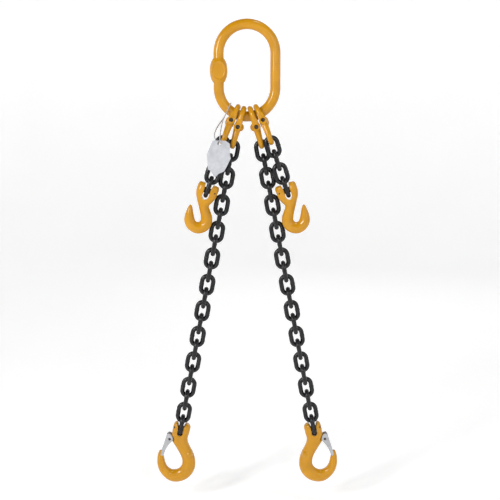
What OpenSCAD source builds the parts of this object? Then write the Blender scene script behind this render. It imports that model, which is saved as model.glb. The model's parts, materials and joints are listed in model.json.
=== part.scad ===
/* [Master link] */
// Diameter of the master link's bar
bar_d = 22; // [20:0.5:23]
// Width inside the master link
master_w = 98; // [94:1:110]
// Height inside the master link
master_h = 170; // [160:1:190]
// Width of the forged boss on the master link's side
boss_w = 38; // [30:1:44]
// Height of that boss
boss_h = 48; // [36:1:60]
// Thickness of that boss, front to back
boss_t = 28; // [24:1:34]

/* [Chain] */
// Diameter of the chain's wire
wire_d = 10; // [9:0.5:10]
// Length inside one link
pitch = 30; // [30:0.5:32]
// Width over one link
link_w = 34.5; // [34:0.5:37]
// Pairs of links in each long leg
long_pairs = 11; // [3:1:11]
// Slack between two bars that bear on each other
slack = 0.15; // [0.1:0.05:0.3]

/* [Legs] */
// Lean of the long legs from the vertical
long_lean = 10.6; // [9:0.1:12]
// Lean of the short legs from the vertical
short_lean = 17.5; // [16:0.5:20]
// Lean of each grab hook from the vertical
grab_lean = 20; // [18:0.5:24]
// How far the short legs' couplings swing forward
short_swing = 14.5; // [14:0.5:16]

/* [Couplings] */
// Diameter of the bow's bar
bow_d = 11; // [10:0.5:11]
// Diameter of the lugs round the pin
lug_d = 17.6; // [16:0.1:18]
// Diameter of the coupling pin
coupling_pin_d = 9; // [8:0.5:10]

/* [Hooks] */
// Diameter of the load pin through a clevis
load_pin_d = 12.4; // [11:0.1:12.6]
// Width of the slot in a clevis
clevis_gap = 12.6; // [11.5:0.1:13.5]
// Diameter of the roll pin that keeps a load pin in
roll_pin_d = 3; // [2.5:0.1:3.5]
// Diameter of the latch's pivot pin
latch_pin_d = 4; // [3.5:0.1:4.5]

/* [Tag] */
// Width of the identity tag
tag_w = 52; // [44:1:54]
// Height of the identity tag
tag_h = 78; // [60:1:84]
// Thickness of the tag's plate
tag_t = 1.6; // [1.2:0.1:3]
// Diameter of the tag's wire
tag_wire_d = 2.2; // [2:0.1:2.6]

/* [Hidden] */
$fn = 64;
fit = 0.05;

SIDES = ["left", "right"];
LEGS = ["long", "short"];
PAIRS = [for (i = [1:long_pairs]) str(i < 10 ? "0" : "", i)];
SHORT_LINKS = [1, 2, 3, 4];

PAINT = [0.93, 0.64, 0.02];
CHAIN = [0.09, 0.09, 0.1];
STEEL = [0.72, 0.73, 0.74];
DARK_STEEL = [0.25, 0.24, 0.23];

// ---- Where each leg hangs. Everything here is the right-hand side; the left is its mirror image ----

bar_r = bar_d / 2;
bow_r = bow_d / 2;
wire_r = wire_d / 2;
load_pin_r = load_pin_d / 2;
master_r = (master_w + bar_d) / 2;
master_low = [0, 0, -(master_h - master_w / 2)];
bow_seat = master_w / 2 - slack - bow_r;

// Each kind of leg: angle round the bottom of the master link, lean of the coupling's top half,
// its length from bow to pin, lean of the bottom half, its length, and the forward swing
long_seat = [8.4, 19, 41, 15.5, 43.5, 0];
short_seat = [25.5, 27.5, 38, 20.5, 46.5, short_swing];
function seat(leg) = leg == "long" ? long_seat : short_seat;

function dir(lean) = [sin(lean), 0, -cos(lean)];
function bar_point(angle, r) = master_low + r * dir(angle);
function top_bow(leg) = bar_point(seat(leg)[0], bow_seat);
function pin_point(leg) = top_bow(leg) + seat(leg)[2] * dir(seat(leg)[1]);
function low_bow(leg) = pin_point(leg) + seat(leg)[4] * dir(seat(leg)[3]);

// Swings a point forward about the master link's bar where the leg is seated
function swung(leg, p) =
    let (k = bar_point(seat(leg)[0], master_r), axis = [cos(seat(leg)[0]), 0, sin(seat(leg)[0])])
    let (a = -seat(leg)[5], v = p - k)
    k + v * cos(a) + cross(axis, v) * sin(a) + axis * (axis * v) * (1 - cos(a));

// Centre of the first link's upper end bar, which rides on the bow
function first_end(leg, lean) = swung(leg, low_bow(leg) - (bow_r + wire_r + slack) * dir(lean));

end_reach = pitch / 2 + wire_r;
next_end = end_reach - wire_d - slack;
function link_centre(end, lean) = end + end_reach * dir(lean);

long_step = end_reach + next_end;
function long_link(i) = link_centre(first_end("long", long_lean), long_lean) + (i - 1) * long_step * dir(long_lean);
short_leans = [short_lean, short_lean, short_lean, grab_lean];
function short_end(i) =
    i == 1 ? first_end("short", short_lean) : short_link_at(i - 1) + next_end * dir(short_leans[i - 2]);
function short_link_at(i) = link_centre(short_end(i), short_leans[i - 1]);

pin_in_link = pitch / 2 - load_pin_r - slack;
sling_pin = long_link(2 * long_pairs) + pin_in_link * dir(long_lean);
grab_pin = short_link_at(4) + pin_in_link * dir(grab_lean);

module on_side(side) {
    if (side == "left") mirror([1, 0, 0]) children();
    else children();
}

// Puts a leg's piece at p, with its own -Z down the leg
module hung(p, lean) translate(p) rotate([0, -lean, 0]) children();

// Swings a coupling forward about the bar with its leg's seat
module swing_with(leg) {
    k = bar_point(seat(leg)[0], master_r);
    axis = [cos(seat(leg)[0]), 0, sin(seat(leg)[0])];
    translate(k) rotate(a = -seat(leg)[5], v = axis) translate(-k) children();
}

// ---- Bars and links ----

// Half a ring in the XZ plane, above the origin
module half_ring(r, bar) {
    rotate([90, 0, 0]) rotate_extrude(angle = 180) translate([r, 0]) circle(d = bar);
}

// A closed link of two half rings and two straight sides, centred, in the XZ plane
module oval_link(width, inside, bar) {
    r = (width - bar) / 2;
    straight = inside - width + 2 * bar;
    for (up = [0, 1]) mirror([0, 0, 1 - up]) translate([0, 0, straight / 2]) half_ring(r, bar);
    for (x = [-r, r]) translate([x, 0, -straight / 2]) cylinder(h = straight, d = bar);
}

module master_link() {
    color(PAINT) {
        translate([0, 0, -master_h / 2]) oval_link(master_w + 2 * bar_d, master_h, bar_d);
        translate([-master_r, 0, -master_h / 2]) boss();
    }
}

// The oval swelling forged on one side of the master link, flat at front and back
module boss() {
    steps = 12;
    swell = boss_w / 2 - bar_r;
    half = boss_h / 2;
    bulge = [for (i = [0:steps])
        let (t = -1 + 2 * i / steps) [bar_r - 1 + (swell + 1) * cos(90 * t), half * t]];
    intersection() {
        rotate_extrude() polygon(concat([[0, -half]], bulge, [[0, half]]));
        cube([boss_w + 2, boss_t, boss_h + 2], center = true);
    }
}

module chain_link(p, lean, edge_on) {
    color(CHAIN) hung(p, lean) rotate([0, 0, edge_on ? 90 : 0]) oval_link(link_w, pitch, wire_d);
}

// Two links of a long leg: one seen face on, and the one below it edge on
module long_chain(pair) {
    chain_link(long_link(2 * pair - 1), long_lean, false);
    chain_link(long_link(2 * pair), long_lean, true);
}

module short_link(i) {
    chain_link(short_link_at(i), short_leans[i - 1], i % 2 == 0);
}

// ---- Couplings ----

top_half_r = 19.5;
low_half_r = 13.5;
top_lug = [13.6, 25.4];
low_lug = [5, 13.2];
sleeve_half = 4.7;
sleeve_r = 7;
web_low = 17;
web_high = 11;

// Half a coupling with its pin at the origin and its bow below: the bow's radius, its lugs from and to
module coupling_half(length, r, lug, leg_top) {
    difference() {
        union() {
            translate([0, 0, -(length - r)]) rotate([0, 180, 90]) half_ring(r, bow_d);
            for (s = [-1, 1]) {
                translate([0, s * r, -(length - r)]) cylinder(h = length - r - leg_top, d = bow_d);
                translate([0, s * (lug[0] + lug[1]) / 2, 0]) rotate([90, 0, 0])
                    cylinder(h = lug[1] - lug[0], d = lug_d, center = true);
                translate([-bow_r - 0.6, s > 0 ? lug[0] : -lug[1], -web_low])
                    cube([bow_d + 1.2, lug[1] - lug[0], web_low]);
            }
        }
        rotate([90, 0, 0]) cylinder(h = 4 * r, d = coupling_pin_d + 2 * fit, center = true);
    }
}

module coupling_top(leg) {
    color(PAINT) swing_with(leg) hung(pin_point(leg), seat(leg)[1]) rotate([0, 180, 0])
        coupling_half(seat(leg)[2], top_half_r, top_lug, 4);
}

module coupling_bottom(leg) {
    color(PAINT) swing_with(leg) hung(pin_point(leg), seat(leg)[3])
        coupling_half(seat(leg)[4], low_half_r, low_lug, web_high);
}

// The pin through both halves, and the sleeve that keeps it in
module coupling_pin(leg) {
    color(DARK_STEEL) swing_with(leg) hung(pin_point(leg), seat(leg)[3]) rotate([90, 0, 0]) {
        cylinder(h = 2 * top_lug[1] - 1, d = coupling_pin_d, center = true);
        difference() {
            cylinder(h = 2 * sleeve_half, r = sleeve_r, center = true);
            cylinder(h = 2 * sleeve_half + 1, d = coupling_pin_d + 2 * fit, center = true);
        }
    }
}

// ---- Hook bodies: a smooth sweep through stations of [across, up, half width, half thickness, squareness] ----

// Origin at the load pin, +Z up the leg, the hook's tip on the +X side
SLING_STATIONS = [
    [-1, 13.8, 10, 6, 2.4],
    [-1, 11, 17, 10.5, 2.8],
    [-1, 4, 21.5, 14.5, 3.2],
    [-1, -8, 21, 14.5, 3.2],
    [-1.5, -20, 19, 13.5, 2.9],
    [-5, -35, 18.5, 12.5, 2.5],
    [-19, -56, 17.2, 12, 2.3],
    [-31, -73, 16.5, 12.5, 2.2],
    [-34, -90, 16.3, 12.5, 2.2],
    [-28, -106, 16.3, 12.5, 2.2],
    [-9.6, -120, 15.2, 12.5, 2.2],
    [12, -115.5, 13, 11.5, 2.2],
    [27, -100.5, 10.2, 10, 2.2],
    [33.2, -84, 7.8, 8.5, 2.2],
    [36.4, -72, 5, 7, 2.2],
    [37.6, -65.5, 2.2, 4, 2.2]
];
GRAB_STATIONS = [
    [1, 13.8, 11, 6, 2.4],
    [1, 11, 18, 11, 2.8],
    [1, 3, 22.6, 15, 3.2],
    [1, -8, 22, 15, 3.2],
    [1, -18, 18.5, 14, 2.9],
    [-0.4, -30, 13.4, 12, 2.5],
    [-9.5, -43, 12.3, 11.5, 2.3],
    [-17.5, -57, 13.6, 11.5, 2.3],
    [-19.5, -73, 13.2, 11.5, 2.3],
    [-8.5, -86, 12.3, 11.5, 2.3],
    [8.3, -84.5, 11.8, 11, 2.3],
    [17.6, -73.5, 10.6, 10.5, 2.3],
    [20.3, -61, 8, 9.5, 2.3],
    [23, -50, 4.8, 8, 2.3],
    [24.6, -43, 2, 4.5, 2.3]
];
between = 2;
ring_sides = 16;

// A point of the smooth curve through rows i and i + 1
function spline(rows, i, t) =
    let (n = len(rows) - 1, a = rows[max(i - 1, 0)], b = rows[i])
    let (c = rows[min(i + 1, n)], d = rows[min(i + 2, n)])
    0.5 * (2 * b + (c - a) * t + (2 * a - 5 * b + 4 * c - d) * t ^ 2 + (3 * b - a - 3 * c + d) * t ^ 3);
function smooth(rows, k) = concat(
    [for (i = [0:len(rows) - 2]) for (j = [0:k - 1]) spline(rows, i, j / k)],
    [rows[len(rows) - 1]]
);
function unit(v) = v / norm(v);
function rounded(x, n) = sign(x) * abs(x) ^ (2 / n);
function station_ring(rows, i) =
    let (a = rows[max(i - 1, 0)], b = rows[min(i + 1, len(rows) - 1)], s = rows[i])
    let (along = unit([b[0] - a[0], 0, b[1] - a[1]]), across = [-along[2], 0, along[0]])
    [for (k = [0:ring_sides - 1])
        let (q = 360 * (k + 0.5) / ring_sides)
        [s[0], -s[3] * rounded(sin(q), s[4]), s[1]] + across * s[2] * rounded(cos(q), s[4])];

// The two triangles between side k of ring i and the same side of ring j, where rings have n points
function side_faces(i, j, k, n) =
    let (a = i * n + k, b = j * n + k, c = j * n + (k + 1) % n, d = i * n + (k + 1) % n)
    [[a, b, c], [a, c, d]];
// A closed skin over rings that all have n points
function skin_faces(rings, n) = concat(
    [[for (k = [0:n - 1]) k]],
    [for (i = [0:rings - 2]) for (k = [0:n - 1]) each side_faces(i, i + 1, k, n)],
    [[for (k = [n - 1:-1:0]) (rings - 1) * n + k]]
);
module hook_sweep(stations) {
    rows = smooth(stations, between);
    rings = [for (i = [0:len(rows) - 1]) station_ring(rows, i)];
    polyhedron([for (r = rings) each r], skin_faces(len(rings), ring_sides), convexity = 6);
}

ear_out = 24;
clevis_low = 16.5;
roll_pin_at = 14.5;
roll_pin_half = 13;

// Cuts a clevis into a hook: the chain's slot with a round end, the load pin's bore, the roll pin's hole
module with_clevis() difference() {
    children();
    translate([-clevis_gap / 2, -ear_out, -clevis_low]) cube([clevis_gap, 2 * ear_out, 3 * clevis_low]);
    translate([0, 0, -clevis_low]) rotate([90, 0, 0]) cylinder(h = 2 * ear_out, d = clevis_gap, center = true);
    rotate([0, 90, 0]) cylinder(h = 3 * ear_out, d = load_pin_d + 2 * fit, center = true);
    translate([roll_pin_at, 0, 0]) rotate([90, 0, 0])
        cylinder(h = 2 * ear_out, d = roll_pin_d + 2 * fit, center = true);
}

// A load pin and the roll pin across its end
module load_pin(ear_left, ear_right) {
    color(DARK_STEEL) {
        difference() {
            translate([-ear_left, 0, 0]) rotate([0, 90, 0]) cylinder(h = ear_left + ear_right, r = load_pin_r);
            translate([roll_pin_at, 0, 0]) rotate([90, 0, 0])
                cylinder(h = 2 * load_pin_d, d = roll_pin_d + 2 * fit, center = true);
        }
        translate([roll_pin_at, 0, 0]) rotate([90, 0, 0])
            cylinder(h = 2 * roll_pin_half, d = roll_pin_d, center = true);
    }
}

// ---- Sling hook, latch and spring ----

pivot = [20.8, 0, -27.2];
latch_tab_half = 2.8;
latch_tab_r = 6.5;
recess_r = 11;
recess_in = 3.2;
cheek_in = 5.9;
cheek_out = 7.5;

module sling_hook() {
    color(PAINT) hung(sling_pin, long_lean) difference() {
        with_clevis() union() {
            difference() {
                hook_sweep(SLING_STATIONS);
                for (s = [-1, 1]) translate(pivot + [0, s * (recess_in + ear_out / 2), 0])
                    rotate([90, 0, 0]) cylinder(h = ear_out, r = recess_r, center = true);
            }
            translate(pivot) rotate([90, 0, 0]) cylinder(h = 2 * latch_tab_half, r = latch_tab_r, center = true);
        }
        translate(pivot) rotate([90, 0, 0])
            cylinder(h = 2 * ear_out, d = latch_pin_d + 2 * fit, center = true);
    }
}

module sling_load_pin() hung(sling_pin, long_lean) load_pin(21, 19);

LATCH_OUTLINE = [
    [29, -23.5], [33.4, -59.5], [31.2, -67], [28.6, -72], [26.4, -71], [20.8, -38.5], [15, -32], [13.2, -25.5]
];
latch_head = [21.2, -26.6];
latch_head_r = 8;

// The flat shape of one cheek, seen from the front
module cheek_outline() {
    polygon(LATCH_OUTLINE);
    translate(latch_head) circle(r = latch_head_r);
}

module latch() {
    spine = LATCH_OUTLINE[1] - LATCH_OUTLINE[0];
    sheet = cheek_out - cheek_in;
    color(STEEL) hung(sling_pin, long_lean) difference() {
        union() {
            for (s = [-1, 1]) translate([0, s * (cheek_in + cheek_out) / 2, 0]) rotate([90, 0, 0])
                linear_extrude(height = sheet, center = true) cheek_outline();
            rotate([90, 0, 0]) linear_extrude(height = 2 * cheek_in + sheet, center = true)
                polygon([LATCH_OUTLINE[0] + spine * 0.12, LATCH_OUTLINE[1], LATCH_OUTLINE[2], LATCH_OUTLINE[3],
                    LATCH_OUTLINE[3] - [1.6, -1], LATCH_OUTLINE[2] - [2, -1], LATCH_OUTLINE[1] - [1.8, 0],
                    LATCH_OUTLINE[0] + spine * 0.12 - [1.8, 0]]);
        }
        translate(pivot) rotate([90, 0, 0])
            cylinder(h = 4 * cheek_out, d = latch_pin_d + 2 * fit, center = true);
    }
}

latch_rivet_r = 2.9;
latch_rivet_h = 0.8;
module latch_pin() {
    color(DARK_STEEL) hung(sling_pin, long_lean) translate(pivot) rotate([90, 0, 0]) {
        cylinder(h = 2 * cheek_out + 0.6, d = latch_pin_d, center = true);
        for (s = [-1, 1]) translate([0, 0, s * (cheek_out + 0.1 + latch_rivet_h / 2)])
            cylinder(h = latch_rivet_h, r = latch_rivet_r, center = true);
    }
}

spring_wire = 0.9;
spring_r = 2.9;
spring_turns = 1.5;
spring_steps = 14;
wire_sides = 8;

// A round bar swept along points, with the same number of sides all the way; up is any vector not along it
module swept_bar(points, d, sides, up) {
    n = len(points);
    rings = [for (i = [0:n - 1])
        let (along = unit(points[min(i + 1, n - 1)] - points[max(i - 1, 0)]))
        let (a = unit(cross(along, up)), b = cross(along, a))
        [for (k = [0:sides - 1])
            let (q = 360 * k / sides) points[i] + d / 2 * (a * cos(q) + b * sin(q))]];
    polyhedron([for (r = rings) each r], skin_faces(n, sides), convexity = 8);
}

// Two coils round the latch's pin, one each side of the hook's tab
module latch_spring() {
    side_gap = 0.1;
    rise = (cheek_in - recess_in - spring_wire - 2 * side_gap) / spring_turns;
    coil = [for (i = [0:spring_turns * spring_steps])
        let (t = i / spring_steps, q = 360 * t)
        [spring_r * cos(q), recess_in + side_gap + spring_wire / 2 + rise * t, spring_r * sin(q)]];
    color(DARK_STEEL) hung(sling_pin, long_lean) translate(pivot)
        for (s = [0, 1]) mirror([0, s, 0]) swept_bar(coil, spring_wire, wire_sides, [0, 1, 0]);
}

// ---- Grab hook ----

module grab_hook() {
    color(PAINT) hung(grab_pin, grab_lean) with_clevis() hook_sweep(GRAB_STATIONS);
}

module grab_load_pin() hung(grab_pin, grab_lean) load_pin(20.5, 22);

// ---- Identity tag and its wire, on the left ----

tag_hole = [-58, -47, -236];
tag_hole_d = 8;
tag_edge = 6;

// Where the wire goes over the bar, and its route down to the tag's hole
wire_angle = -42;
wire_over = bar_r + tag_wire_d / 2 + 0.9;
wire_seat = bar_point(wire_angle, master_r);
wire_up = -dir(-25);
function wire_arc(q) = wire_seat + wire_over * (wire_up * cos(q) * 1.06 + [0, 1, 0] * sin(q));
WIRE_ROUTE = concat(
    [for (q = [-90:30:90]) wire_arc(q)],
    [[-50, 10, -184], [-59, 1, -197], [-66, -11, -209], [-69, -23, -219], [-67, -33, -228], [-62.5, -40.5, -234]],
    [[-58, -47, -235.3], [-56, -51.5, -232.5], [-56.6, -50.8, -226], [-55.6, -44, -214], [-51, -25, -190]]
);

// A smooth closed curve through the route's points
function loop_point(rows, i, t) =
    let (n = len(rows), a = rows[(i + n - 1) % n], b = rows[i], c = rows[(i + 1) % n], d = rows[(i + 2) % n])
    0.5 * (2 * b + (c - a) * t + (2 * a - 5 * b + 4 * c - d) * t ^ 2 + (3 * b - a - 3 * c + d) * t ^ 3);
wire_between = 4;

module tag_wire() {
    line = [for (i = [0:len(WIRE_ROUTE) - 1]) for (j = [0:wire_between - 1])
        loop_point(WIRE_ROUTE, i, j / wire_between)];
    n = len(line);
    rings = [for (i = [0:n - 1])
        let (along = unit(line[(i + 1) % n] - line[(i + n - 1) % n]))
        let (a = unit(cross(along, [1, 0, 0])), b = cross(along, a))
        [for (k = [0:wire_sides - 1])
            let (q = 360 * k / wire_sides) line[i] + tag_wire_d / 2 * (a * cos(q) + b * sin(q))]];
    faces = [for (i = [0:n - 1]) for (k = [0:wire_sides - 1]) each side_faces(i, (i + 1) % n, k, wire_sides)];
    color(STEEL) polyhedron([for (r = rings) each r], faces, convexity = 8);
}

// The tag: a plate with unequal sides that hangs from a hole near its top edge
module identity_tag() {
    w = tag_w;
    h = tag_h;
    color(STEEL) translate(tag_hole) rotate([90, 0, 0]) linear_extrude(height = tag_t, center = true)
        difference() {
            translate([0, tag_edge]) polygon([[-0.38 * w, 0], [0.28 * w, -0.03 * h], [0.35 * w, -0.2 * h],
                [0.38 * w, -0.5 * h], [0.16 * w, -0.85 * h], [-0.26 * w, -h], [-0.36 * w, -0.91 * h],
                [-0.6 * w, -0.78 * h], [-0.62 * w, -0.4 * h]]);
            circle(d = tag_hole_d);
        }
}

// ---- The parts ----

master_link();
tag_wire();
identity_tag();
for (s = SIDES) on_side(s) {
    for (leg = LEGS) {
        coupling_top(leg);
        coupling_bottom(leg);
        coupling_pin(leg);
    }
    for (i = [1:long_pairs]) {
        long_chain(i);
    }
    for (i = SHORT_LINKS) {
        short_link(i);
    }
    sling_hook();
    sling_load_pin();
    latch();
    latch_pin();
    latch_spring();
    grab_hook();
    grab_load_pin();
}
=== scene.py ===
"""A two-leg chain sling: detailed forgings, links, latches and tag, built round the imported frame."""
import json
from math import atan2, cos, exp, pi, radians, sin, tan

import bmesh
import bpy
from mathutils import Matrix, Vector


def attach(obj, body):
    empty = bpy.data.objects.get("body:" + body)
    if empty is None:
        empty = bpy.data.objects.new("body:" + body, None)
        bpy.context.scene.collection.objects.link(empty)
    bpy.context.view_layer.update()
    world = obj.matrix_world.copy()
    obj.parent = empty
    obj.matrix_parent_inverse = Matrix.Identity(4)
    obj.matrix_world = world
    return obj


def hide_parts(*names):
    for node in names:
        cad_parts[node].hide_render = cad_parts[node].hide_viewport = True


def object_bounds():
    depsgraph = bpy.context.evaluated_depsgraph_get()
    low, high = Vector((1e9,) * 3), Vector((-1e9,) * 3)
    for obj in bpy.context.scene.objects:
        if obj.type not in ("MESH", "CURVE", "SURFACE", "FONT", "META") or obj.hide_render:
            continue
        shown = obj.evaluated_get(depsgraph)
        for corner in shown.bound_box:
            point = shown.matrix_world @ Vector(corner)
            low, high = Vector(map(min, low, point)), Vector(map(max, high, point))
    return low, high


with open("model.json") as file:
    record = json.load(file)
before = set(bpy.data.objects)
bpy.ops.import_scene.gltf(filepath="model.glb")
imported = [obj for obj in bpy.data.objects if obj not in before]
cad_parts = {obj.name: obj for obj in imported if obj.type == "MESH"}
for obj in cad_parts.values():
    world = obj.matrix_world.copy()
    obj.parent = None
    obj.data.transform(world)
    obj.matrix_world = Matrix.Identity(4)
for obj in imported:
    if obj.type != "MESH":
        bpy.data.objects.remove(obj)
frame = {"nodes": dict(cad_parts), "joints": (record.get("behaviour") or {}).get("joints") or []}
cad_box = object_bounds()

# Lengths below are millimetres in a piece's own frame: X outwards from the middle of the sling,
# Y away from the viewer, Z up the leg. bake() puts a piece into the model's frame, in metres.
# The camera, the lights and the floor are in metres from the start.
MM = 0.001
SIDES = ("left", "right")
LEGS = ("long", "short")
LEAN = {"long": 10.6, "short": 17.5}
GRAB_LEAN = 20
SEAT_ANGLE = {"long": 8.4, "short": 25.5}
SEAT_FORWARD = {"long": 0, "short": 14.5}
TOP_HALF_LEAN = {"long": 19, "short": 27.5}
LOW_HALF_LEAN = {"long": 15.5, "short": 20.5}
TOP_HALF_LENGTH = {"long": 41, "short": 38}
LOW_HALF_LENGTH = {"long": 43.5, "short": 46.5}
ACROSS = Vector((1, 0, 0))
DEPTH = Vector((0, 1, 0))
UP = Vector((0, 0, 1))

JOINTS = {j["name"]: j for j in frame["joints"]}


# ---- Placing ----

def joint_at(name):
    """A joint's place on the model, in millimetres."""
    return Vector(JOINTS[name]["pos_m"]) / MM


def own_side(point, side):
    """A point of the model as a point on the piece's own side."""
    return Vector((point.x if side == "right" else -point.x, point.y, point.z))


def to_model(side):
    """From millimetres on a piece's own side to metres on the model; the left is the mirror image."""
    return Matrix.Scale(MM, 4) @ Matrix.Diagonal((1 if side == "right" else -1, 1, 1, 1))


def hung(point, lean):
    """Hangs a piece at a point with its own Z up the leg, leaning outwards."""
    return Matrix.Translation(point) @ Matrix.Rotation(radians(-lean), 4, "Y")


def bake(piece, matrix):
    piece.data.transform(matrix)
    if matrix.to_3x3().determinant() < 0:
        piece.data.flip_normals()
    return piece


def solids_of(node):
    """The middle of each loose solid in a CAD node, highest first, in millimetres."""
    bm = bmesh.new()
    bm.from_mesh(frame["nodes"][node].data)
    bmesh.ops.remove_doubles(bm, verts=bm.verts, dist=1e-6)
    left, middles = set(bm.verts), []
    while left:
        stack, group = [left.pop()], []
        while stack:
            vert = stack.pop()
            group.append(vert.co.copy())
            for edge in vert.link_edges:
                other = edge.other_vert(vert)
                if other in left:
                    left.remove(other)
                    stack.append(other)
        low = Vector([min(co[i] for co in group) for i in range(3)])
        high = Vector([max(co[i] for co in group) for i in range(3)])
        middles.append((low + high) / 2 / MM)
    bm.free()
    return sorted(middles, key=lambda p: -p.z)


# ---- Mesh building ----

def piece_from(name, shapes):
    """One object of one or more (verts, faces) shapes."""
    verts, faces = [], []
    for shape_verts, shape_faces in shapes:
        base = len(verts)
        verts += shape_verts
        faces += [[base + i for i in face] for face in shape_faces]
    mesh = bpy.data.meshes.new(name)
    mesh.from_pydata([tuple(v) for v in verts], [], faces)
    mesh.validate()
    bm = bmesh.new()
    bm.from_mesh(mesh)
    bmesh.ops.recalc_face_normals(bm, faces=bm.faces)
    bm.to_mesh(mesh)
    bm.free()
    mesh.polygons.foreach_set("use_smooth", [True] * len(mesh.polygons))
    piece = bpy.data.objects.new(name, mesh)
    bpy.context.scene.collection.objects.link(piece)
    return piece


def skin(rings, closed=False):
    """Quads between rings of equal length; an open skin gets an end cap at each end."""
    count, n = len(rings), len(rings[0])
    verts = [p for ring in rings for p in ring]
    faces = []
    for i in range(count if closed else count - 1):
        j = (i + 1) % count
        for k in range(n):
            m = (k + 1) % n
            faces.append([i * n + k, j * n + k, j * n + m, i * n + m])
    if not closed:
        faces.append(list(range(n))[::-1])
        faces.append([(count - 1) * n + k for k in range(n)])
    return verts, faces


def power(x, squareness):
    """A cosine or sine drawn towards a square: 2 keeps the circle."""
    return (1 if x >= 0 else -1) * abs(x) ** (2 / squareness)


def ring_at(centre, a_axis, b_axis, a, b, sides, squareness=2.0):
    return [centre + a_axis * (a * power(cos(t), squareness)) + b_axis * (b * power(sin(t), squareness))
            for t in (2 * pi * (k + 0.5) / sides for k in range(sides))]


def stadium(r, straight, arc_steps, straight_steps):
    """A closed path in the XZ plane, as (point, outward normal): two half circles and two straights."""
    path = []
    for sign in (1, -1):
        for i in range(arc_steps):
            q = pi * i / arc_steps
            out = Vector((cos(q), 0, sin(q))) * sign
            path.append((out * r + UP * sign * straight / 2, out))
        for i in range(straight_steps):
            out = ACROSS * -sign
            path.append((out * r + UP * sign * straight * (0.5 - i / straight_steps), out))
    return path


def lathe(profile, axis_from, axis, sides=40):
    """A solid of revolution: profile rows are (distance along the axis, radius)."""
    axis = axis.normalized()
    a = axis.orthogonal().normalized()
    b = axis.cross(a)
    return skin([ring_at(axis_from + axis * along, a, b, r, r, sides) for along, r in profile])


def pin_profile(half, r, chamfer, dimple):
    """A lathe profile for a round bar with chamfered ends and a shallow dimple in each."""
    core = r * 0.35
    return [(-half + dimple, core), (-half, core * 1.5), (-half, r - chamfer), (-half + chamfer, r),
            (half - chamfer, r), (half, r - chamfer), (half, core * 1.5), (half - dimple, core)]


def frames_along(points, closed=False):
    """Two side vectors for each point, carried along without twist; a closed path's twist is spread out."""
    n = len(points)
    alongs, sides = [], []
    for i in range(n):
        before = points[i - 1] if closed else points[max(i - 1, 0)]
        after = points[(i + 1) % n] if closed else points[min(i + 1, n - 1)]
        along = (after - before).normalized()
        side = sides[-1] if sides else along.orthogonal()
        alongs.append(along)
        sides.append((side - along * side.dot(along)).normalized())
    if closed:
        last = (sides[-1] - alongs[0] * sides[-1].dot(alongs[0])).normalized()
        gap = atan2(last.cross(sides[0]).dot(alongs[0]), last.dot(sides[0]))
        sides = [Matrix.Rotation(gap * i / n, 3, alongs[i]) @ sides[i] for i in range(n)]
    return list(zip(sides, [a.cross(s) for a, s in zip(alongs, sides)]))


def bar_along(points, r, sides, closed=False):
    """A round bar along points."""
    rings = [ring_at(p, a, b, r, r, sides) for p, (a, b) in zip(points, frames_along(points, closed))]
    return skin(rings, closed)


def catmull(rows, i, t, closed=False):
    """A point of the smooth curve through the rows, between rows i and i + 1."""
    n = len(rows)
    pick = (lambda k: rows[k % n]) if closed else (lambda k: rows[min(max(k, 0), n - 1)])
    a, b, c, d = (Vector(pick(i + k)) for k in (-1, 0, 1, 2))
    return 0.5 * (2 * b + (c - a) * t + (2 * a - 5 * b + 4 * c - d) * t ** 2
                  + (3 * b - a - 3 * c + d) * t ** 3)


def evaluated(piece):
    """Applies the piece's modifiers to its mesh."""
    graph = bpy.context.evaluated_depsgraph_get()
    mesh = bpy.data.meshes.new_from_object(piece.evaluated_get(graph))
    old = piece.data
    piece.modifiers.clear()
    piece.data = mesh
    bpy.data.meshes.remove(old)
    return piece


def forged(piece, voxel, rounds):
    """Merges a piece's overlapping shapes into one skin with softened edges, as a forging has."""
    remesh = piece.modifiers.new("remesh", "REMESH")
    remesh.mode = "VOXEL"
    remesh.voxel_size = voxel
    remesh.use_smooth_shade = True
    smooth = piece.modifiers.new("smooth", "SMOOTH")
    smooth.factor = 0.5
    smooth.iterations = rounds
    return evaluated(piece)


def cut(piece, shapes):
    """Takes the shapes away from the piece."""
    cutter = piece_from("cutter", shapes)
    boolean = piece.modifiers.new("cut", "BOOLEAN")
    boolean.operation = "DIFFERENCE"
    boolean.solver = "EXACT"
    boolean.object = cutter
    evaluated(piece)
    mesh = cutter.data
    bpy.data.objects.remove(cutter)
    bpy.data.meshes.remove(mesh)
    return piece


def prism(outline, half):
    """An outline of (across, up) points as a plate that reaches half to each side of the XZ plane."""
    front = [Vector((u, -half, v)) for u, v in outline]
    back = [Vector((u, half, v)) for u, v in outline]
    return skin([front, back])


def moved(shape, by):
    verts, faces = shape
    return [v + by for v in verts], faces


def rounded_outline(corners, radius, steps=5):
    """An outline with its corners rounded off."""
    out = []
    n = len(corners)
    for i in range(n):
        p = Vector(corners[i])
        before = (Vector(corners[i - 1]) - p).normalized()
        after = (Vector(corners[(i + 1) % n]) - p).normalized()
        half_angle = before.angle(after) / 2
        reach = min(radius / tan(half_angle), (Vector(corners[i - 1]) - p).length * 0.45,
                    (Vector(corners[(i + 1) % n]) - p).length * 0.45)
        start, end = p + before * reach, p + after * reach
        for k in range(steps + 1):
            t = k / steps
            out.append(start * (1 - t) ** 2 + p * 2 * t * (1 - t) + end * t ** 2)
    return [(q.x, q.y) for q in out]


# ---- Materials ----

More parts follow.
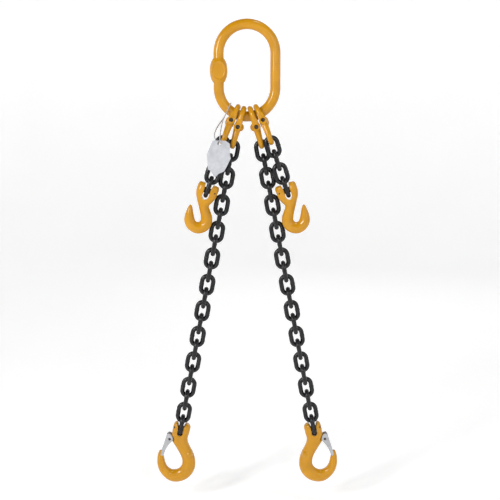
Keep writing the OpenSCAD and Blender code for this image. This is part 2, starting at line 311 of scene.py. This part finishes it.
class Nodes:
    """A material's node tree, with short calls for what the recipes below use."""

    def __init__(self, name):
        self.material = bpy.data.materials.new(name)
        self.material.use_nodes = True
        self.tree = self.material.node_tree
        self.shader = self.tree.nodes["Principled BSDF"]
        coords = self.tree.nodes.new("ShaderNodeTexCoord")
        self.place = coords.outputs["Object"]

    def set(self, **values):
        for key, value in values.items():
            self.shader.inputs[key.replace("_", " ")].default_value = value

    def link(self, source, target):
        self.tree.links.new(source, target)

    def noise(self, scale, detail=3.0, rough=0.55):
        node = self.tree.nodes.new("ShaderNodeTexNoise")
        node.inputs["Scale"].default_value = scale
        node.inputs["Detail"].default_value = detail
        node.inputs["Roughness"].default_value = rough
        self.link(self.place, node.inputs["Vector"])
        return node.outputs["Fac"]

    def edges(self, low, high):
        """Near 1 on worn outside edges, 0 elsewhere."""
        geometry = self.tree.nodes.new("ShaderNodeNewGeometry")
        return self.spread(geometry.outputs["Pointiness"], low, high, 0, 1)

    def spread(self, source, low, high, to_low, to_high):
        node = self.tree.nodes.new("ShaderNodeMapRange")
        node.inputs["From Min"].default_value = low
        node.inputs["From Max"].default_value = high
        node.inputs["To Min"].default_value = to_low
        node.inputs["To Max"].default_value = to_high
        self.link(source, node.inputs["Value"])
        return node.outputs["Result"]

    def product(self, a, b):
        node = self.tree.nodes.new("ShaderNodeMath")
        node.operation = "MULTIPLY"
        self.link(a, node.inputs[0])
        self.link(b, node.inputs[1])
        return node.outputs["Value"]

    def mix(self, factor, first, second):
        node = self.tree.nodes.new("ShaderNodeMix")
        node.data_type = "RGBA"
        self.link(factor, node.inputs["Factor"])
        for value, socket in ((first, node.inputs[6]), (second, node.inputs[7])):
            if isinstance(value, tuple):
                socket.default_value = (*value, 1)
            else:
                self.link(value, socket)
        return node.outputs[2]

    def colour(self, source):
        self.link(source, self.shader.inputs["Base Color"])

    def roughness(self, source, low, high, to_low, to_high):
        self.link(self.spread(source, low, high, to_low, to_high), self.shader.inputs["Roughness"])

    def bumps(self, *layers):
        """Layers of (height, strength, distance in metres), one on another."""
        normal = None
        for height, strength, distance in layers:
            node = self.tree.nodes.new("ShaderNodeBump")
            node.inputs["Strength"].default_value = strength
            node.inputs["Distance"].default_value = distance
            self.link(height, node.inputs["Height"])
            if normal is not None:
                self.link(normal, node.inputs["Normal"])
            normal = node.outputs["Normal"]
        self.link(normal, self.shader.inputs["Normal"])


def yellow_paint():
    n = Nodes("yellow_paint")
    drift = n.noise(35, 3)
    base = n.mix(n.spread(drift, 0.3, 0.7, 0, 1), (0.50, 0.225, 0.0004), (0.58, 0.265, 0.0005))
    worn = n.product(n.edges(0.56, 0.64), n.spread(n.noise(420, 4, 0.7), 0.52, 0.6, 0, 1))
    n.colour(n.mix(worn, base, (0.30, 0.16, 0.03)))
    n.set(Metallic=0.0, Specular_IOR_Level=0.03, Coat_Weight=0.85, Coat_Roughness=0.14)
    n.roughness(n.noise(160, 4), 0.3, 0.7, 0.27, 0.42)
    n.bumps((n.noise(50, 2), 0.25, 0.0007), (n.noise(900, 2), 0.1, 0.00015))
    return n.material


def black_chain():
    n = Nodes("black_chain")
    drift = n.noise(60, 3)
    base = n.mix(n.spread(drift, 0.3, 0.7, 0, 1), (0.003, 0.003, 0.004), (0.007, 0.007, 0.009))
    worn = n.product(n.edges(0.53, 0.6), n.spread(n.noise(600, 3, 0.7), 0.5, 0.62, 0, 0.5))
    n.colour(n.mix(worn, base, (0.09, 0.09, 0.1)))
    n.set(Metallic=0.0, Specular_IOR_Level=0.04, Coat_Weight=0.7, Coat_Roughness=0.2)
    n.roughness(n.noise(300, 4), 0.3, 0.7, 0.24, 0.38)
    n.bumps((n.noise(140, 3), 0.2, 0.0004), (n.noise(1500, 2), 0.15, 0.0001))
    return n.material


def plated_steel(name, dark, light, low, high, grain):
    """Bare or plated metal with fine scratches, mottling and rubbed edges."""
    n = Nodes(name)
    mottle = n.noise(grain, 4, 0.65)
    base = n.mix(n.spread(mottle, 0.3, 0.7, 0, 1), dark, light)
    rubbed = n.product(n.edges(0.52, 0.6), n.spread(n.noise(500, 3), 0.4, 0.6, 0, 0.6))
    n.colour(n.mix(rubbed, base, tuple(min(1, c * 1.25) for c in light)))
    n.set(Metallic=0.85)
    n.roughness(n.noise(grain * 3, 4), 0.3, 0.7, low, high)
    n.bumps((n.noise(grain * 1.5, 3), 0.2, 0.0003), (n.noise(2200, 2), 0.2, 0.0001))
    return n.material


def tag_plate():
    n = Nodes("tag_plate")
    base = n.mix(n.spread(n.noise(70, 4, 0.6), 0.35, 0.65, 0, 1), (0.44, 0.45, 0.48), (0.54, 0.55, 0.58))
    smudges = n.spread(n.noise(260, 5, 0.7), 0.56, 0.7, 0, 0.5)
    n.colour(n.mix(smudges, base, (0.38, 0.39, 0.41)))
    n.set(Metallic=0.35)
    n.roughness(n.noise(240, 4), 0.3, 0.7, 0.45, 0.65)
    n.bumps((n.noise(45, 2), 0.5, 0.0009), (n.noise(800, 3), 0.25, 0.0002))
    return n.material


MATERIALS = {
    "yellow_paint": yellow_paint(),
    "black_chain": black_chain(),
    "latch_steel": plated_steel("latch_steel", (0.38, 0.385, 0.4), (0.52, 0.525, 0.54), 0.3, 0.45, 90),
    "pin_steel": plated_steel("pin_steel", (0.035, 0.028, 0.022), (0.08, 0.07, 0.06), 0.35, 0.55, 200),
    "spring_steel": plated_steel("spring_steel", (0.30, 0.30, 0.30), (0.42, 0.41, 0.40), 0.25, 0.4, 300),
    "tag_plate": tag_plate(),
    "wire_steel": plated_steel("wire_steel", (0.42, 0.42, 0.44), (0.6, 0.6, 0.62), 0.35, 0.5, 250),
}


def settle(piece, body, material, *nodes):
    """Gives a piece its material, hangs it on the body that carries it and hides the CAD nodes it stands for.
    """
    piece.data.materials.clear()
    piece.data.materials.append(MATERIALS[material])
    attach(piece, body)
    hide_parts(*nodes)
    return piece


# ---- Camera, light and floor ----

CAMERA_PLACE = (0, -1.9, -0.157)
CAMERA_DOWN = 9.35
CAMERA_RIGHT = 0.19
CAMERA_LENS = 63.4
CAMERA_SENSOR = 36
FLOOR_DROP = 0.045
FLOOR_Z = cad_box[0][2] - FLOOR_DROP
FLOOR_GLOW = 0.32
WORLD_STRENGTH = 0.18


def add_camera():
    data = bpy.data.cameras.new("camera")
    data.lens = CAMERA_LENS
    data.sensor_width = CAMERA_SENSOR
    camera = bpy.data.objects.new("camera", data)
    bpy.context.scene.collection.objects.link(camera)
    camera.location = CAMERA_PLACE
    camera.rotation_euler = (radians(90 - CAMERA_DOWN), 0, radians(-CAMERA_RIGHT))
    bpy.context.scene.camera = camera


def add_light(name, place, size, power_w, aim=(0, 0, -0.5)):
    """A rectangular lamp of that width and height in metres, pointed at a place on the sling."""
    data = bpy.data.lights.new(name, "AREA")
    data.shape = "RECTANGLE"
    data.size, data.size_y = size
    data.energy = power_w
    light = bpy.data.objects.new(name, data)
    bpy.context.scene.collection.objects.link(light)
    light.location = place
    light.rotation_euler = (Vector(aim) - Vector(place)).to_track_quat("-Z", "Y").to_euler()


def add_stage():
    """A round pale floor that curves up into a wall all the way round."""
    flat, curve, top = 3.2, 1.4, 4.0
    profile = [(0.01, 0.0), (1.0, 0.0), (2.0, 0.0), (flat, 0.0)]
    profile += [(flat + curve * sin(q), curve * (1 - cos(q)))
                for q in (pi / 2 * i / 16 for i in range(1, 17))]
    profile += [(flat + curve, top)]
    rings = [ring_at(UP * (FLOOR_Z + z), ACROSS, DEPTH, r, r, 96) for r, z in profile]
    verts, faces = skin(rings)
    floor = piece_from("floor", [(verts, faces[:-1])])
    n = Nodes("floor_paper")
    n.colour(n.mix(n.spread(n.noise(3, 2), 0.3, 0.7, 0, 1), (0.9, 0.9, 0.9), (0.92, 0.92, 0.92)))
    n.set(Roughness=0.9, Specular_IOR_Level=0.1, Emission_Color=(1, 1, 1, 1), Emission_Strength=FLOOR_GLOW)
    n.bumps((n.noise(300, 2), 0.05, 0.0005))
    floor.data.materials.append(n.material)


def add_world():
    world = bpy.data.worlds.new("world")
    world.use_nodes = True
    background = world.node_tree.nodes["Background"]
    background.inputs["Color"].default_value = (1, 1, 1, 1)
    background.inputs["Strength"].default_value = WORLD_STRENGTH
    bpy.context.scene.world = world
    bpy.context.scene.view_settings.view_transform = "Standard"


add_camera()
add_stage()
add_world()
add_light("key", (-1.55, -1.65, 0.45), (0.4, 0.9), 25)
add_light("front", (0.5, -2.1, 0.3), (0.12, 0.5), 3)
add_light("fill", (1.9, -1.4, 0.1), (0.4, 1.6), 3)
add_light("top", (0.6, -0.5, 1.9), (0.35, 0.35), 8, (0, 0, -0.4))
add_light("rim", (0.6, 2.2, 0.6), (1.6, 1.6), 6)


# ---- Chain ----

WIRE_R = 5
LINK_R = 12.25
LINK_STRAIGHT = 15.5
WELD_SWELL = 0.55
WELD_HALF = 1.5


def link_shape():
    """One welded link in the XZ plane; the weld is a low collar halfway down one side."""
    rings = []
    for point, out in stadium(LINK_R, LINK_STRAIGHT, 18, 14):
        swell = WELD_SWELL * exp(-(point.z / WELD_HALF) ** 2) if point.x > 0 and abs(point.z) < 6 else 0
        rings.append(ring_at(point, out, DEPTH, WIRE_R + swell, WIRE_R + swell, 20))
    return skin(rings, closed=True)


LINK = link_shape()


def add_link(name, middle, lean, side, edge_on, body, node):
    piece = piece_from(name, [LINK])
    spin = Matrix.Rotation(radians(90 if edge_on else 0), 4, "Z")
    bake(piece, to_model(side) @ hung(own_side(middle, side), lean) @ spin)
    return settle(piece, body, "black_chain", node)


def add_chains():
    for side in SIDES:
        pairs = sorted(n for n in frame["nodes"] if n.startswith(f"long_chain_{side}_"))
        for node in pairs:
            for upper, middle in zip(("a", "b"), solids_of(node)):
                add_link(f"link_{node}_{upper}", middle, LEAN["long"], side, upper == "b", node, node)
        for i in range(1, 5):
            node = f"short_link_{side}_{i}"
            lean = GRAB_LEAN if i == 4 else LEAN["short"]
            add_link(f"link_{node}", solids_of(node)[0], lean, side, i % 2 == 0, node, node)


# ---- Master link ----

MASTER_R = 60
MASTER_STRAIGHT = 72
MASTER_MIDDLE = Vector((0, 0, -85))
MASTER_LOW = Vector((0, 0, -121))
BAR_R = 11
BOSS_SWELL = 8
BOSS_HALF = 25
BOSS_DEEPEN = 4.5
BOSS_FACE = 13.6
BOSS_RIM = (14.2, 18.8)
BOSS_RIM_R = 1.2
MASTER_VOXEL = 0.9


def add_master_link():
    rings = []
    for point, out in stadium(MASTER_R, MASTER_STRAIGHT, 60, 60):
        t = min(1, abs(point.z) / BOSS_HALF)
        boss = (1 - t * t) ** 0.7 if point.x < 0 and t < 1 else 0
        wide, deep = BAR_R + BOSS_SWELL * boss, BAR_R + BOSS_DEEPEN * boss
        ring = ring_at(point, out, DEPTH, wide, deep, 48, 2 + 0.4 * boss)
        face = BAR_R + (BOSS_FACE - BAR_R) * min(1, boss * 2)
        rings.append([Vector((p.x, max(-face, min(face, p.y)), p.z)) for p in ring])
    shapes = [skin(rings, closed=True)]
    for sign in (-1, 1):
        rim = [Vector((-MASTER_R + BOSS_RIM[0] * cos(q), sign * BOSS_FACE, BOSS_RIM[1] * sin(q)))
               for q in (2 * pi * i / 64 for i in range(64))]
        shapes.append(bar_along(rim, BOSS_RIM_R, 10, closed=True))
    piece = forged(piece_from("master_link_forging", shapes), MASTER_VOXEL, 4)
    bake(piece, Matrix.Scale(MM, 4) @ Matrix.Translation(MASTER_MIDDLE))
    settle(piece, "master_link", "yellow_paint", "master_link")


# ---- Couplings ----

BOW_R = 5.5
LUG_R = 8.8
TOP_BOW_R = 19.5
LOW_BOW_R = 13.5
TOP_LUG = (13.6, 25.4)
LOW_LUG = (5, 13.2)
COUPLING_PIN_R = 4.5
RIM_R = 6.4
PIN_HALF = 22.6
SLEEVE = [(-4.6, 5), (-4.6, 6.3), (-4, 6.95), (4, 6.95), (4.6, 6.3), (4.6, 5)]
STRAIGHT_FROM = 5
TAPER_HALF = 2.8
LUG_RIM_R = 1.0
COUPLING_VOXEL = 0.62
LOBE = {"long": -4.2, "short": 1.7}


def coupling_half(name, length, r, lug, lobe=0):
    """A forged half with its pin at the origin and its bow below; a lobe is how far a lug bulges sideways."""
    path = []
    for i in range(13):
        path.append(Vector((0, -r, -STRAIGHT_FROM - (length - r - STRAIGHT_FROM) * i / 12)))
    for i in range(1, 32):
        q = pi * i / 32
        path.append(Vector((0, -r * cos(q), -(length - r) - r * sin(q))))
    for i in range(12, -1, -1):
        path.append(Vector((0, r, -STRAIGHT_FROM - (length - r - STRAIGHT_FROM) * i / 12)))
    shapes = [bar_along(path, BOW_R + 0.15, 28)]
    for sign in (-1, 1):
        inner, outer = lug
        profile = [(inner, LUG_R - 0.9), (inner + 0.9, LUG_R + 0.15),
                   (outer - 1.6, LUG_R + 0.15), (outer, LUG_R - 1.6)]
        shapes.append(lathe(profile, Vector(), DEPTH * sign, 48))
        if lobe:
            shapes.append(lathe(profile, ACROSS * lobe, DEPTH * sign, 48))
        waist = [(-LUG_R * 0.93, -2), (LUG_R * 0.93, -2), (BOW_R + 0.6, -17), (-BOW_R - 0.6, -17)]
        shapes.append(moved(prism(waist, (outer - inner) / 2 - 0.7), DEPTH * sign * (inner + outer) / 2))
        taper = [(-LUG_R * 0.86, -6), (LUG_R * 0.86, -6),
                 (BOW_R + 0.5, -(length - r)), (-BOW_R - 0.5, -(length - r))]
        shapes.append(moved(prism(taper, TAPER_HALF), DEPTH * sign * r))
        rim = [Vector((RIM_R * cos(q), sign * outer, RIM_R * sin(q)))
               for q in (2 * pi * i / 40 for i in range(40))]
        shapes.append(bar_along(rim, LUG_RIM_R, 10, closed=True))
    piece = forged(piece_from(name, shapes), COUPLING_VOXEL, 5)
    return cut(piece, [rod(Vector(), DEPTH, 40, COUPLING_PIN_R + 0.2)])


def add_couplings():
    for side in SIDES:
        for leg in LEGS:
            fold = own_side(joint_at(f"coupling_fold_{leg}_{side}"), side)
            angle = radians(SEAT_ANGLE[leg])
            forward = Matrix.Rotation(radians(-SEAT_FORWARD[leg]), 4, Vector((cos(angle), 0, sin(angle))))

            def at_pin(lean):
                return to_model(side) @ Matrix.Translation(fold) @ forward @ hung(Vector(), lean)

            top_body, low_body = f"coupling_top_{leg}_{side}", f"coupling_bottom_{leg}_{side}"
            top = coupling_half(f"{top_body}_forging", TOP_HALF_LENGTH[leg], TOP_BOW_R, TOP_LUG)
            bake(top, at_pin(TOP_HALF_LEAN[leg]) @ Matrix.Rotation(pi, 4, "Y"))
            settle(top, top_body, "yellow_paint", top_body)
            low = coupling_half(f"{low_body}_forging", LOW_HALF_LENGTH[leg], LOW_BOW_R, LOW_LUG, LOBE[leg])
            bake(low, at_pin(LOW_HALF_LEAN[leg]))
            settle(low, low_body, "yellow_paint", low_body)
            pin = piece_from(f"coupling_pin_detail_{leg}_{side}", [
                lathe(pin_profile(PIN_HALF, COUPLING_PIN_R, 0.7, 0.7), Vector(), DEPTH),
                lathe(SLEEVE, Vector(), DEPTH)])
            bake(pin, at_pin(LOW_HALF_LEAN[leg]))
            settle(pin, top_body, "pin_steel", f"coupling_pin_{leg}_{side}")


# ---- Hooks ----

# Rows from the ears round to the tip: a point on the back (across, up), a point on the throat's side,
# half thickness, squareness, ridge. The outlines in both tables, and the latch's below, were traced from
# the picture through a scratch program. They are not worked out from driving dimensions.
SLING_ROWS = [
    (-10.5, 15.4, 10.5, 15.4, 7, 2.4, 0),
    (-17.5, 12.2, 16, 11.8, 12, 2.8, 0),
    (-21.2, 6, 18, 2, 14.3, 3, 0),
    (-20.4, -8, 18, -11, 14, 2.9, 0),
    (-19.3, -20, 17.3, -23, 13.2, 2.7, 0),
    (-23, -31.5, 12.7, -33.5, 12.6, 2.5, 0),
    (-32, -44.5, 4, -44, 12.1, 2.4, 0),
    (-40.5, -57, -6.5, -57, 12.2, 2.3, 0.15),
    (-45.5, -70.5, -14, -69, 12.5, 2.2, 0.25),
    (-47.5, -86, -17, -80, 12.5, 2.2, 0.25),
    (-43.5, -102, -15.2, -89.5, 12.5, 2.2, 0.2),
    (-33, -116.5, -9, -96.6, 12.5, 2.2, 0.15),
    (-17.5, -125.5, -2, -99.7, 12.4, 2.2, 0.15),
    (-0.5, -127.8, 5, -99.8, 12.2, 2.2, 0.12),
    (15, -122, 12.8, -96.3, 11.6, 2.2, 0.1),
    (29, -110, 19, -89.5, 10.8, 2.2, 0.1),
    (37.5, -95, 23.6, -79.8, 9.7, 2.2, 0.1),
    (40.6, -79, 27.6, -69.6, 7.4, 2.2, 0.05),
    (40.8, -68.5, 30.3, -62.5, 5.6, 2.2, 0),
    (39.2, -60, 34, -58.3, 3.4, 2.2, 0),
]
GRAB_ROWS = [
    (-16, 15.5, 19.5, 15, 8, 2.4, 0),
    (-22, 13, 22.8, 10.5, 13, 2.8, 0),
    (-23.6, 3.5, 23.3, -3.5, 15, 3, 0),
    (-22.8, -10, 19.5, -17, 14.4, 2.8, 0.1),
    (-18, -22.5, 13, -28, 13.4, 2.6, 0.3),
    (-14.7, -31, 7, -37.5, 12.8, 2.4, 0.45),
    (-21.5, -40.5, 1, -47, 12.4, 2.3, 0.45),
    (-29.5, -51.5, -4.8, -57, 12.3, 2.3, 0.45),
    (-33.3, -65, -7.6, -64, 12.3, 2.3, 0.45),
    (-30.5, -79, -6.5, -69, 12.2, 2.3, 0.45),
    (-20.8, -90.5, -3.3, -71.3, 12, 2.3, 0.4),
    (-6, -96.5, 0.3, -71.3, 11.8, 2.3, 0.4),
    (11, -93, 4.3, -68.5, 11.5, 2.3, 0.4),
    (23.8, -81.3, 8.4, -62, 11, 2.3, 0.35),
    (28, -66.4, 13.4, -53.5, 10, 2.3, 0.25),
    (27.6, -50, 18, -45.2, 7.8, 2.3, 0.1),
    (25.8, -41, 22.5, -40.3, 3.6, 2.2, 0),
]
ROW_STEPS = 8
HOOK_SIDES = 44
LOAD_PIN_R = 6.2
ROLL_PIN_R = 1.5
ROLL_PIN_HALF = 12.6
HOOK_VOXEL = 0.8
SLOTTED_VOXEL = 0.7
# slot: half width, where its round end starts, its flared mouth's half width and how far up that is
# pin: how far the load pin reaches to the back and to the throat's side; roll: the roll pin's place
SLING = {"rows": SLING_ROWS, "slot": (6.3, -8, 12, 20), "pin": (20.4, 17.6), "roll": Vector((14.8, 0, 4))}
GRAB = {"rows": GRAB_ROWS, "slot": (6.8, -13, 8.6, 14), "pin": (23, 22.8), "roll": Vector((-17.5, 0, 0))}
SHOULDER = Vector((-29.5, 6.9, -54))
SHOULDER_R = 7


def hook_body(rows):
    line = [catmull(rows, i, k / ROW_STEPS) for i in range(len(rows) - 1) for k in range(ROW_STEPS)]
    line.append(Vector(rows[-1]))
    rings = []
    for back_x, back_z, throat_x, throat_z, thick, square, ridge in line:
        back, throat = Vector((back_x, 0, back_z)), Vector((throat_x, 0, throat_z))
        middle, across = (back + throat) / 2, (throat - back) / 2
        ring = []
        for k in range(HOOK_SIDES):
            t = 2 * pi * (k + 0.5) / HOOK_SIDES
            round_y = abs(sin(t)) ** (2 / square)
            ridge_y = 1 - abs(cos(t)) ** (2 / square)
            y = ((1 - ridge) * round_y + ridge * ridge_y) * (1 if sin(t) > 0 else -1)
            ring.append(middle + across * power(cos(t), square) + DEPTH * thick * y)
        rings.append(ring)
    return skin(rings)


def slot_shape(half, low, mouth, mouth_at):
    """The chain's slot in a clevis: half width, where its round end starts, and its flared mouth."""
    arc = [(-half * cos(q), low - half * sin(q)) for q in (pi * i / 24 for i in range(25))]
    flare = [(mouth * 2 - half, mouth_at * 2), (mouth, mouth_at), (half, mouth_at * 0.3)]
    return prism([(-u, v) for u, v in flare] + arc + flare[::-1], 30)


def ball(middle, r):
    profile = [(-r * cos(q), r * max(sin(q), 0.02)) for q in (pi * i / 16 for i in range(17))]
    return lathe(profile, middle, DEPTH, 32)


def rod(middle, axis, half, r, sides=40):
    return lathe([(-half, r), (half, r)], middle, axis, sides)


def clevis_hook(name, kind, extras=(), extra_cuts=()):
    piece = forged(piece_from(name, [hook_body(kind["rows"]), *extras]), HOOK_VOXEL, 8)
    cut(piece, [slot_shape(*kind["slot"])])
    forged(piece, SLOTTED_VOXEL, 4)
    cut(piece, [rod(Vector(), ACROSS, 40, LOAD_PIN_R + 0.1)])
    cut(piece, [rod(kind["roll"], DEPTH, 30, ROLL_PIN_R + 0.15, 24)])
    for shapes in extra_cuts:
        cut(piece, shapes)
    return piece


def load_pin(name, kind):
    left, right = kind["pin"]
    middle = ACROSS * (right - left) / 2
    shapes = [lathe(pin_profile((left + right) / 2, LOAD_PIN_R, 0.9, 0.5), middle, ACROSS),
              lathe(pin_profile(ROLL_PIN_HALF, ROLL_PIN_R, 0.3, 0.8), kind["roll"], DEPTH, 24)]
    return piece_from(name, shapes)


# ---- Sling hook, latch and spring ----

# The slot's floor is a round groove about the load pin, which leaves the last link room as the hook swings:
# the radius at its edges, and how much deeper its middle is
SWING_ROOM = (12.9, 6)
PIVOT = Vector((20.8, 0, -27.2))
RECESS_R = 11
RECESS_IN = 3.2
TAB_R = 6.5
TAB_HALF = 2.8
LATCH_PIN_R = 2
CHEEK = (5.9, 7.5)
LATCH_OUTLINE = [(25.5, -14.5), (28.8, -19), (29.4, -25.5), (31, -37), (33.2, -51), (34.6, -62),
                 (34.2, -68), (31.2, -70.5), (28, -67), (26.6, -59), (24.3, -50.5), (21.3, -42.5),
                 (17, -34.8), (14, -30.5), (13.2, -25.5), (15.5, -20), (19.5, -15.3)]
SPINE_EDGE = [(29, -21), (31, -37), (33.1, -51), (34, -57)]
LATCH_VOXEL = 0.4
COIL_R = 2.9
COIL_WIRE_R = 0.42
COIL_FROM = 3.8
COIL_TURNS = 1.5
COIL_PITCH = 1.05


def add_sling_hook(side):
    matrix = to_model(side) @ hung(own_side(joint_at(f"sling_hook_swing_{side}"), side), LEAN["long"])
    recess = [rod(PIVOT + DEPTH * s * (RECESS_IN + 12), DEPTH, 12, RECESS_R) for s in (-1, 1)]
    bumps = [ball(Vector((SHOULDER.x, s * SHOULDER.y, SHOULDER.z)), SHOULDER_R) for s in (-1, 1)]
    tab = rod(PIVOT, DEPTH, TAB_HALF, TAB_R)
    bore = [rod(PIVOT, DEPTH, 30, LATCH_PIN_R + 0.1, 24)]
    wide, (ring_r, deep) = SLING["slot"][0] - 0.1, SWING_ROOM
    groove = [(wide * sin(q), ring_r + deep * cos(q)) for q in (pi * (i / 24 - 0.5) for i in range(25))]
    swing_room = [lathe(groove, Vector(), ACROSS, 72)]
    hook = clevis_hook(f"sling_hook_forging_{side}", SLING, bumps + [tab], [recess, bore, swing_room])
    settle(bake(hook, matrix), f"sling_hook_{side}", "yellow_paint", f"sling_hook_{side}")
    pin = load_pin(f"sling_load_pin_detail_{side}", SLING)
    settle(bake(pin, matrix), f"sling_hook_{side}", "pin_steel", f"sling_load_pin_{side}")
    half_rivet = [(8.4, 1.2), (8.2, 2.3), (7.6, 2.9), (7.6, LATCH_PIN_R)]
    rivet_profile = [(-along, r) for along, r in half_rivet] + half_rivet[::-1]
    rivet = piece_from(f"latch_pin_detail_{side}", [lathe(rivet_profile, PIVOT, DEPTH, 32)])
    settle(bake(rivet, matrix), f"sling_hook_{side}", "pin_steel", f"latch_pin_{side}")
    add_latch(side, matrix)


def add_latch(side, matrix):
    inner, outer = CHEEK
    sheet = (outer - inner) / 2
    cheek = prism(rounded_outline(LATCH_OUTLINE, 2.5), sheet)
    shapes = [moved(cheek, DEPTH * s * (inner + sheet)) for s in (-1, 1)]
    inset = [(u - 1.9, v + 0.3) for u, v in SPINE_EDGE]
    shapes.append(prism(SPINE_EDGE + inset[::-1], inner + sheet))
    latch = forged(piece_from(f"latch_pressing_{side}", shapes), LATCH_VOXEL, 4)
    cut(latch, [rod(PIVOT, DEPTH, 12, LATCH_PIN_R + 0.1, 24)])
    settle(bake(latch, matrix), f"latch_{side}", "latch_steel", f"latch_{side}")
    coils = []
    for s in (-1, 1):
        n = 60
        turn = [PIVOT + Vector((COIL_R * cos(q), s * (COIL_FROM + COIL_PITCH * q / (2 * pi)),
                                COIL_R * sin(q)))
                for q in (2 * pi * COIL_TURNS * i / n for i in range(n + 1))]
        coils.append(bar_along(turn, COIL_WIRE_R, 12))
    spring = piece_from(f"latch_spring_coil_{side}", coils)
    settle(bake(spring, matrix), f"latch_{side}", "spring_steel", f"latch_spring_{side}")


# ---- Grab hook ----

def add_grab_hook(side):
    matrix = to_model(side) @ hung(own_side(joint_at(f"grab_hook_swing_{side}"), side), GRAB_LEAN)
    hook = clevis_hook(f"grab_hook_forging_{side}", GRAB)
    settle(bake(hook, matrix), f"grab_hook_{side}", "yellow_paint", f"grab_hook_{side}")
    pin = load_pin(f"grab_load_pin_detail_{side}", GRAB)
    settle(bake(pin, matrix), f"grab_hook_{side}", "pin_steel", f"grab_load_pin_{side}")


# ---- Identity tag and its wire ----

TAG_HALF = 0.75
TAG_HOLE_R = 4
TAG_CORNERS = [(-14, 5.8), (-26.5, -23), (-25.5, -38), (-24.5, -54.5), (-19, -57.5), (-12, -69),
               (-8.5, -70.5), (-1.5, -63.5), (9.5, -59), (15.5, -48.5), (23.5, -31.5), (21.5, -15.5),
               (22.5, -1), (14, 5), (3, 6.2)]
TAG_RIBS = [(-1, 19, -8), (-22, 20, -22), (-20, 18, -37), (-18, 10, -51)]
WIRE_R_OVER = 13
WIRE_BAR_ANGLE = -42
WIRE_UP_ANGLE = -25
WIRE_ROUTE = [(-50, 10, -184), (-59, 1, -197), (-66, -11, -209), (-69, -23, -219), (-67, -33, -228),
              (-62.5, -40.5, -234), (-58, -47, -235.3), (-56, -51.5, -232.5), (-56.6, -50.8, -226),
              (-55.6, -44, -214), (-51, -25, -190)]
EDGE_INSET = 0.97
EDGE_ROLL_R = 0.95
EYELET_R = 5
EYELET_ROLL_R = 1.15
RIB_R = 1.0
BUCKLE = 0.6
BUCKLE_WAVE = 12
BUCKLE_FROM = 20
TAG_VOXEL = 0.45
STRAND_R = 0.68
STRAND_TURNS = 26


def add_tag():
    hole = joint_at("tag_swing")
    outline = rounded_outline(TAG_CORNERS, 1.6)
    plate = piece_from("identity_tag_plate", [prism(outline, TAG_HALF)])
    cut(plate, [rod(Vector(), DEPTH, 6, TAG_HOLE_R)])
    middle = Vector((sum(u for u, _ in outline), sum(v for _, v in outline))) / len(outline)
    rolled = [middle + (Vector(p) - middle) * EDGE_INSET for p in outline]
    eyelet = [Vector((EYELET_R * cos(q), 0, EYELET_R * sin(q))) for q in (2 * pi * i / 40 for i in range(40))]
    ribs = [bar_along([Vector((left, 0, up)), Vector((right, 0, up))], RIB_R, 10)
            for left, right, up in TAG_RIBS]
    edge = [Vector((u, 0, v)) for u, v in rolled]
    extras = piece_from("extras", [bar_along(edge, EDGE_ROLL_R, 10, closed=True),
                                   bar_along(eyelet, EYELET_ROLL_R, 10, closed=True), *ribs])
    bm = bmesh.new()
    bm.from_mesh(plate.data)
    bm.from_mesh(extras.data)
    bm.to_mesh(plate.data)
    bm.free()
    bpy.data.objects.remove(extras)
    forged(plate, TAG_VOXEL, 3)
    # A slight buckle, so that the plate isn't flat
    for vert in plate.data.vertices:
        vert.co.y -= BUCKLE * (1 + sin(vert.co.x / BUCKLE_WAVE)) * min(1, abs(vert.co.z) / BUCKLE_FROM)
    bake(plate, Matrix.Scale(MM, 4) @ Matrix.Translation(hole))
    settle(plate, "identity_tag", "tag_plate", "identity_tag")


def add_tag_wire():
    def down(angle):
        return Vector((sin(radians(angle)), 0, -cos(radians(angle))))

    seat = MASTER_LOW + down(WIRE_BAR_ANGLE) * MASTER_R
    rows = [seat + WIRE_R_OVER * (-down(WIRE_UP_ANGLE) * cos(q) * 1.06 + DEPTH * sin(q))
            for q in (radians(a) for a in range(-90, 91, 30))]
    rows += [Vector(p) for p in WIRE_ROUTE]
    steps = 24
    line = [catmull(rows, i, k / steps, closed=True) for i in range(len(rows)) for k in range(steps)]
    frames = frames_along(line, closed=True)
    strands = []
    for start in (0, pi):
        angles = [start + 2 * pi * STRAND_TURNS * i / len(line) for i in range(len(line))]
        strand = [p + (a * cos(q) + b * sin(q)) * STRAND_R for p, (a, b), q in zip(line, frames, angles)]
        strands.append(bar_along(strand, STRAND_R + 0.02, 10, closed=True))
    wire = piece_from("tag_wire_strands", strands)
    bake(wire, Matrix.Scale(MM, 4))
    settle(wire, "tag_wire", "wire_steel", "tag_wire")


# ---- The whole sling ----

add_master_link()
add_couplings()
add_chains()
for each_side in SIDES:
    add_sling_hook(each_side)
    add_grab_hook(each_side)
add_tag()
add_tag_wire()
